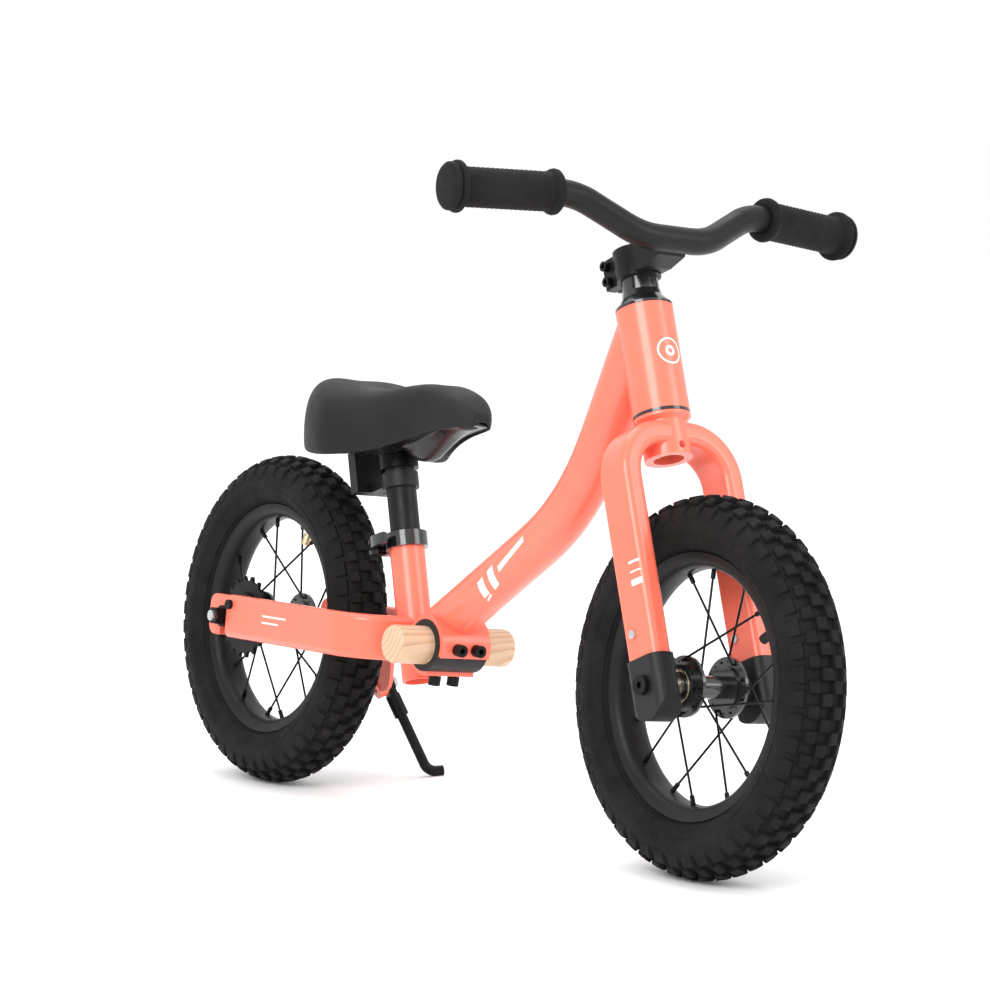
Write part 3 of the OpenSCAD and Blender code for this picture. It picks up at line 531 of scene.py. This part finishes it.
# %% [markdown]
# ## Tyres
# The casing is a round section with a thin wall, open at the rim, and two fine ribs on each
# sidewall. The tread is one short slice repeated round it: four rows of square blocks, set like
# bricks, and a wide lug on each shoulder that reaches down the sidewall. Every block is a little
# smaller at the top than at its foot.

# %% Casing and tread
SECTION_MID = TYRE_R - 0.029
TREAD_COUNT = 48
BEAD_ANGLE = 141
STEPS = 144


def casing_r(phi):
    """Radius of the casing's section at phi degrees from the crown."""
    phi = abs(phi)
    if phi <= 90:
        return 0.0240 + 0.0030 * math.sin(math.radians(phi)) ** 2
    return 0.0270 - 0.0042 * ((phi - 90) / (BEAD_ANGLE - 90)) ** 1.6


def tread_r(phi):
    return 0.0290 - 0.0006 * math.sin(math.radians(abs(phi))) ** 2


def section_point(phi, rho):
    a = math.radians(phi)
    return SECTION_MID + rho * math.cos(a), rho * math.sin(a)


def casing():
    angles = [-BEAD_ANGLE + i * 6 for i in range(int(2 * BEAD_ANGLE / 6) + 1)]
    ribs = [98, 100, 102, 104, 124, 126, 128, 130]
    angles = sorted(set(angles + ribs + [-a for a in ribs]))
    outer = []
    for phi in angles:
        lift = 0.0006 if abs(phi) in (100, 102, 126, 128) else 0
        outer.append(section_point(phi, casing_r(phi) + lift))
    inner = [section_point(phi, casing_r(phi) - 0.003) for phi in reversed(angles[::3])]
    return revolve(outer + inner, STEPS)


def tread_block(phi_a, phi_b, along, place, foot=0.0010, cuts=3, top=tread_r):
    """One block between two section angles; along and place are lengths round the tyre."""
    vertices, faces = [], []
    grow_phi = math.degrees(foot / 0.027)
    for level in (0, 1, 2):
        for i in range(cuts + 1):
            t = i / cuts
            if level == 0:
                lo, hi, length = phi_a - grow_phi, phi_b + grow_phi, along + 2 * foot
            elif level == 1:
                lo, hi, length = phi_a, phi_b, along
            else:
                edge = math.degrees(0.0006 / 0.029)
                lo, hi, length = phi_a + edge, phi_b - edge, along - 0.0012
            phi = lo + (hi - lo) * t
            if level == 0:
                rho = casing_r(phi) - 0.0006
            elif level == 1:
                rho = top(phi) - 0.0006
            else:
                rho = top(phi)
            for side in (-1, 1):
                r, y = section_point(phi, rho)
                theta = (place + side * length / 2) / TYRE_R
                vertices.append((r * math.cos(theta), y, -r * math.sin(theta)))
    row = 2 * (cuts + 1)
    for level in (0, 1):
        a, b = level * row, (level + 1) * row
        for i in range(cuts):
            for s in (0, 1):
                faces.append((a + 2 * i + s, a + 2 * i + 2 + s, b + 2 * i + 2 + s, b + 2 * i + s))
        faces.append((a, a + 1, b + 1, b))
        faces.append((a + 2 * cuts, a + 2 * cuts + 1, b + 2 * cuts + 1, b + 2 * cuts))
    for base in (0, 2 * row):
        for i in range(cuts):
            faces.append((base + 2 * i, base + 2 * i + 1, base + 2 * i + 3, base + 2 * i + 2))
    return mesh_from(vertices, faces)


def tread_slice():
    pitch = math.tau * TYRE_R / TREAD_COUNT
    block = 0.0098
    pieces = []
    for row, middle in enumerate((-33, -11, 11, 33)):
        shift = pitch / 2 if row % 2 else 0
        pieces.append(tread_block(middle - 8.6, middle + 8.6, block, shift))
    for side in (-1, 1):
        shift = pitch / 2 if side < 0 else 0
        lo, hi = sorted((side * 49, side * 74))
        lug_top = lambda phi: tread_r(phi) - 0.0010 * max(0, abs(phi) - 60) / 14
        pieces.append(tread_block(lo, hi, pitch - 0.0062, shift, cuts=5, top=lug_top))
    return joined(pieces, "tread_slice")


def tyre(end, wheel, phase):
    tread = around(tread_slice(), TREAD_COUNT, phase, tyre_rubber)
    mesh = joined([dressed(casing(), tyre_rubber), tread], "tyre")
    hand_over(f"knobbly_{end}_tyre", mesh, wheel, end + "_wheel", replaced=[end + "_tyre"],
              angle=30)
    print(end, "tyre with", len(mesh.polygons), "faces")


tyre("front", FRONT_WHEEL, 0.03)
tyre("rear", REAR_WHEEL, 0.05)

# %% [markdown]
# ## Saddle
# The cover is a stuffed shape: wide and level over the back, dipped in the middle, with a rounded
# nose. It is drawn as sections along the bike whose width, top and skirt come from three smooth
# curves, then rounded by subdivision. The base under it is a flat tray with a deep keel that
# runs down from the nose to the seat post.

# %% Saddle cover and base
def along_curve(points, x):
    """Value at x of a smooth curve through (x, value) points."""
    if x <= points[0][0]:
        return points[0][1]
    for i in range(len(points) - 1):
        (xa, a), (xb, b) = points[i], points[i + 1]
        if x <= xb:
            before = points[max(i - 1, 0)]
            after = points[min(i + 2, len(points) - 1)]
            slope_a = (b - before[1]) / (xb - before[0])
            slope_b = (after[1] - a) / (after[0] - xa)
            t, d = (x - xa) / (xb - xa), xb - xa
            return ((1 + 2 * t) * (1 - t) ** 2 * a + t * (1 - t) ** 2 * d * slope_a
                    + t * t * (3 - 2 * t) * b + t * t * (t - 1) * d * slope_b)
    return points[-1][1]


HALF_WIDTH = [(62, 17), (66, 27), (74, 38), (88, 50), (106, 60), (126, 67), (146, 69), (166, 62),
              (186, 50), (206, 40), (226, 33), (246, 29), (266, 26), (282, 21.5),
              (293, 15), (300, 8)]
SADDLE_TOP = [(62, 360), (66, 370), (74, 379), (88, 384.5), (106, 385.5), (126, 383), (146, 379.5),
              (166, 377), (186, 378), (206, 381.5), (226, 384.5), (244, 385), (262, 382),
              (280, 375.5), (293, 367), (300, 360)]
SADDLE_SKIRT = [(62, 338), (66, 331), (74, 325), (88, 319), (106, 315.5), (126, 314), (146, 314),
                (166, 316), (186, 320), (206, 326), (226, 333), (246, 339.5), (266, 344),
                (282, 347), (293, 348.5), (300, 350)]


def loft(rings):
    """A closed skin through rings of points, with a face over each end."""
    count = len(rings[0])
    vertices = [p for ring in rings for p in ring]
    faces = []
    for r in range(len(rings) - 1):
        for i in range(count):
            j = (i + 1) % count
            a, b = r * count, (r + 1) * count
            faces.append((a + i, a + j, b + j, b + i))
    faces.append(tuple(reversed(range(count))))
    faces.append(tuple((len(rings) - 1) * count + i for i in range(count)))
    return mesh_from(vertices, faces)


def saddle_ring(x):
    w = along_curve(HALF_WIDTH, x)
    top = along_curve(SADDLE_TOP, x)
    skirt = along_curve(SADDLE_SKIRT, x)
    h = top - skirt
    relief = 2.2 * math.exp(-((x - 150) / 70) ** 2)
    half = [(0, top - relief), (0.22 * w, top - relief * 0.55), (0.46 * w, top),
            (0.68 * w, top - 0.045 * h), (0.86 * w, top - 0.16 * h), (0.965 * w, top - 0.36 * h),
            (1.0 * w, top - 0.60 * h), (0.985 * w, top - 0.84 * h), (0.955 * w, skirt + 0.6),
            (0.93 * w, skirt), (0.89 * w, skirt + 0.4), (0.87 * w, skirt + 5), (0.5 * w, skirt + 5.5)]
    ring = [(x, y, z) for y, z in half] + [(x, 0, half[-1][1])]
    ring += [(x, -y, z) for y, z in reversed(half[1:])]
    return [Vector(p) * MM for p in ring]


def subdivided(mesh, levels):
    shape = new_object("shape", mesh)
    modifier = shape.modifiers.new("round", "SUBSURF")
    modifier.levels = modifier.render_levels = levels
    depsgraph = bpy.context.evaluated_depsgraph_get()
    result = bpy.data.meshes.new_from_object(shape.evaluated_get(depsgraph))
    bpy.data.objects.remove(shape)
    return result


stations = [62, 64, 68, 74, 82, 92] + list(range(104, 276, 12)) + [278, 286, 293, 298, 300]
cover = subdivided(loft([saddle_ring(x) for x in stations]), 2)
saddle_cover = hand_over("stuffed_saddle_cover", dressed(cover, vinyl), BIKE, "seat",
                         replaced=["saddle_cover"], angle=70)


def tray_ring(x):
    w = along_curve(HALF_WIDTH, x) * 0.86
    z = along_curve(SADDLE_SKIRT, x)
    half = [(0.0, z + 2.5), (0.5 * w, z + 2), (0.96 * w, z + 1.5), (w, z + 3), (w, z + 7),
            (0.5 * w, z + 8), (0.0, z + 8)]
    ring = [(x, y, h) for y, h in half] + [(x, -y, h) for y, h in reversed(half[1:-1])]
    return [Vector(p) * MM for p in ring]


KEEL = [(196, 322), (206, 317), (216, 314.5), (226, 315.5), (237, 322.5), (247, 330),
        (257, 337), (270, 343), (284, 347)]


def keel_ring(x):
    bottom = along_curve(KEEL, x)
    top = max(along_curve(SADDLE_SKIRT, x) + 5, bottom + 1)
    deep = min(1, (top - bottom) / 20)
    foot = 8 + 3 * (1 - deep)
    wide = 22
    half = [(0, bottom), (foot * 0.55, bottom + 0.2), (foot, bottom + 2.2),
            (foot + 3, bottom + 0.45 * (top - bottom)), (wide, top), (0, top)]
    ring = [(x, y, h) for y, h in half] + [(x, -y, h) for y, h in reversed(half[1:-1])]
    return [Vector(p) * MM for p in ring]


tray_at = [66, 72, 80, 92] + list(range(104, 280, 11)) + [284, 291]
tray = subdivided(loft([tray_ring(x) for x in tray_at]), 1)
keel = subdivided(loft([keel_ring(x) for x in range(198, 286, 6)]), 2)
hand_over("saddle_tray", joined([dressed(tray, base_plastic), dressed(keel, base_plastic)], "tray"),
          BIKE, "seat", replaced=["saddle_base"], angle=50)
print("saddle cover with", len(cover.polygons), "faces, tray and keel")

# %% [markdown]
# ## Grips
# Each grip is a soft sleeve with a thick collar at both ends and a closed end cap. The sleeve's
# skin is a lattice of small diamonds, made by lifting a fine mesh where two spirals cross.

# %% Grips
BAR_END = Vector((0.031, -0.204, 0.3994))
BAR_SHOULDER = Vector((0.045, -0.092, 0.4004))
GRIP_R = 0.0160


def grip_mesh():
    rows = []
    rows += [(0.0002, -0.0060), (0.0150, -0.0060), (0.0180, -0.0052), (0.0195, -0.0036),
             (0.0197, -0.0012), (0.0180, 0.0000), (0.0180, 0.0008), (0.0200, 0.0016),
             (0.0212, 0.0032), (0.0211, 0.0050), (0.0196, 0.0064), (0.0172, 0.0070)]
    skin_from, skin_to, skin_rows = 0.0080, 0.0880, 140
    for i in range(skin_rows + 1):
        rows.append((GRIP_R, skin_from + (skin_to - skin_from) * i / skin_rows))
    rows += [(0.0164, 0.0886), (0.0178, 0.0892), (0.0186, 0.0906), (0.0190, 0.0925),
             (0.0186, 0.0945), (0.0172, 0.0960), (0.0125, 0.0960), (0.0110, 0.0955),
             (0.0110, 0.0100), (0.0002, 0.0100)]
    steps = 96
    mesh = revolve(rows, steps)
    count = len(rows)
    first = 12
    for index, vertex in enumerate(mesh.vertices):
        row = index % count
        if first + 2 <= row <= first + skin_rows - 2:
            a = math.tau * (index // count) / steps
            t = (rows[row][1] - skin_from) / 0.0022 * math.pi
            lift = abs(math.cos(12 * a + t / 2) * math.cos(12 * a - t / 2))
            scale = 1 + (0.00055 * lift - 0.0001) / GRIP_R
            vertex.co.x *= scale
            vertex.co.z *= scale
    return mesh


for side, sign in (("right", 1), ("left", -1)):
    end = Vector((BAR_END.x, BAR_END.y * sign, BAR_END.z))
    shoulder = Vector((BAR_SHOULDER.x, BAR_SHOULDER.y * sign, BAR_SHOULDER.z))
    along = (shoulder - end).normalized()
    across = along.cross(Vector((0, 0, 1))).normalized()
    place = STEER @ frame_matrix(end, across, along, across.cross(along))
    hand_over("soft_grip_" + side, dressed(grip_mesh(), grip_rubber), place, "steering",
              replaced=["grip_" + side], angle=50)
print("two diamond grips")

# %% [markdown]
# ## Wheels
# The rims get a rolled section with smooth lips. Each wheel bearing becomes a shielded cartridge
# bearing: a brass-coloured outer race, a brass-coloured inner race and a dark shield.
# Spokes, nipples and hubs keep their exact shape and get a finish.

# %% Rims, bearings and the parts that keep their shape
RIM = [(108.0, -16.2), (108.4, -15.2), (108.0, -14.2), (104.5, -13.4), (101.5, -10.5), (100, -5),
       (99.6, 0), (100, 5), (101.5, 10.5), (104.5, 13.4), (108.0, 14.2), (108.4, 15.2),
       (108.0, 16.2), (104.5, 16.4), (101.0, 15.6), (98.0, 13.0), (96.0, 9.0), (95.1, 4.5),
       (95.0, 0), (95.1, -4.5), (96.0, -9.0), (98.0, -13.0), (101.0, -15.6), (104.5, -16.4)]


def in_mm(profile):
    return [(r * MM, y * MM) for r, y in profile]


def bearing_mesh(side):
    """Races and shield of one cartridge bearing, drawn on one side of the hub."""
    def turned(profile, material):
        mesh = revolve([(r * MM, side * y * MM) for r, y in profile], 64)
        return dressed(mesh, material)
    outer = [(12.1, 22.5), (14.0, 22.5), (14.0, 28.6), (13.7, 29.0), (12.4, 29.0), (12.1, 28.7)]
    inner = [(6.2, 22.5), (8.0, 22.5), (8.0, 28.9), (7.8, 29.1), (6.2, 29.1)]
    shield = [(8.1, 27.2), (12.0, 27.2), (12.0, 28.1), (11.6, 28.4), (8.5, 28.4), (8.1, 28.1)]
    return [turned(outer, brass), turned(inner, brass), turned(shield, gloss_black)]


for end, wheel in (("front", FRONT_WHEEL), ("rear", REAR_WHEEL)):
    body = end + "_wheel"
    rim = dressed(revolve(in_mm(RIM), 160), satin_black)
    hand_over(end + "_rolled_rim", rim, wheel, body, replaced=[end + "_rim"], angle=35)
    bearings = joined(bearing_mesh(-1) + bearing_mesh(1), end + "_bearings")
    hand_over(end + "_cartridge_bearings", bearings, wheel, body,
              replaced=[end + "_bearings"], angle=35)
    paint(end + "_spokes", black_oxide)
    paint(end + "_nipples", black_oxide)
    paint(end + "_hub", gloss_black)
paint("front_valve", covers_plastic)
paint("rear_valve", brass)
paint("reflector_housing", covers_plastic)
paint("reflector_lens", red_lens)
print("two rims and four bearings done")

# %% [markdown]
# ## Plain markings
# The frame carries a few pale printed marks. They are thin patches that are dropped onto the
# painted parts along a given direction, so they hug each curve: a ring on the head tube, slanted
# bars on the main tube and fine lines on the fork leg and the chainstay.

# %% Pale marks that hug the frame
from mathutils.bvhtree import BVHTree

MARK_START = 0.08
MARK_LIFT = 0.00018
MARK_ROOT = 0.0003
pale_print = finish("pale_print", (0.86, 0.80, 0.76), (0.92, 0.86, 0.82),
                    rough=(0.4, 0.5), grain=1500, bump=0.04, patch=40)


def strip_patch(part, centre, u_dir, v_dir, pairs, closed=False, across=4):
    """A thin closed patch on a part; pairs are the two edges of the strip, in mm."""
    mesh = nodes[part].data
    tree = BVHTree.FromPolygons([v.co for v in mesh.vertices],
                                [tuple(p.vertices) for p in mesh.polygons])
    look = v_dir.cross(u_dir).normalized()
    top, under = [], []
    for (ua, va), (ub, vb) in pairs:
        for k in range(across + 1):
            t = k / across
            u, v = ua + (ub - ua) * t, va + (vb - va) * t
            start = centre + (u_dir * u + v_dir * v) * MM - look * MARK_START
            hit, normal, _, _ = tree.ray_cast(start, look)
            if hit is None:
                raise ValueError("a mark misses " + part)
            if normal.dot(look) > 0:
                normal = -normal
            top.append(hit + normal * MARK_LIFT)
            under.append(hit - normal * MARK_ROOT)
    width, rows, total = across + 1, len(pairs), len(top)
    faces = []
    for i in range(rows if closed else rows - 1):
        a, b = i * width, (i + 1) % rows * width
        for k in range(across):
            faces.append((a + k, a + k + 1, b + k + 1, b + k))
            faces.append((total + a + k, total + b + k, total + b + k + 1, total + a + k + 1))
        faces.append((a, b, total + b, total + a))
        faces.append((a + across, total + a + across, total + b + across, b + across))
    if not closed:
        last = (rows - 1) * width
        for k in range(across):
            faces.append((k, total + k, total + k + 1, k + 1))
            faces.append((last + k, last + k + 1, total + last + k + 1, total + last + k))
    return mesh_from(top + under, faces)


def bar_pairs(u, v, length, width, lean=0.0, steps=8):
    pairs = []
    for i in range(steps + 1):
        x = u + length * (i / steps - 0.5)
        pairs.append(((x - lean, v - width / 2), (x + lean, v + width / 2)))
    return pairs


def ring_pairs(outer, inner, steps=40):
    pairs = []
    for i in range(steps):
        a = math.tau * i / steps
        c, s = math.cos(a), math.sin(a)
        pairs.append(((inner * c, inner * s), (outer * c, outer * s)))
    return pairs


def mark(name, part, body, centre, u_dir, v_dir, strips):
    patches = [strip_patch(part, centre, u_dir, v_dir, pairs, closed)
               for pairs, closed in strips]
    mesh = dressed(joined(patches, name), pale_print)
    hand_over(name, mesh, Matrix.Identity(4), body, angle=60)


def bike_point(x, y, z):
    return BIKE @ (Vector((x, y, z)) * MM)


head_front = STEER @ (Vector((24, 0, 280)) * MM)
mark("head_ring", "head_tube", "frame", head_front, LEFT, STEER_UP,
     [(ring_pairs(11.5, 10.0), True), (ring_pairs(4.6, 2.2, 24), True)])
tube_u = (FORWARD * 0.76 + UP * 0.65).normalized()
tube_v = (UP * 0.76 - FORWARD * 0.65).normalized()
mark("tube_bars", "main_tube", "frame", bike_point(372, -21, 232), tube_u, tube_v,
     [(bar_pairs(-34, 0, 9, 15, 3), False), (bar_pairs(-17, 0, 9, 15, 3), False),
      (bar_pairs(17, 0, 44, 4.5, 1), False)])
mark("stay_line", "chainstay_right", "frame", bike_point(95, -70, 158), FORWARD, UP,
     [(bar_pairs(0, 3, 40, 1.6), False), (bar_pairs(-6, -3, 28, 1.6), False)])
leg_v = STEER_UP
leg_u = LEFT.cross(STEER_UP)
leg_middle = STEER @ (Vector((10, -63, 92)) * MM)
mark("leg_lines", "fork_leg_right", "steering", leg_middle, leg_u, leg_v,
     [(bar_pairs(0, 8, 12, 2), False), (bar_pairs(0, 0, 12, 1.2), False),
      (bar_pairs(0, -9, 12, 5), False)])
print("4 groups of pale marks")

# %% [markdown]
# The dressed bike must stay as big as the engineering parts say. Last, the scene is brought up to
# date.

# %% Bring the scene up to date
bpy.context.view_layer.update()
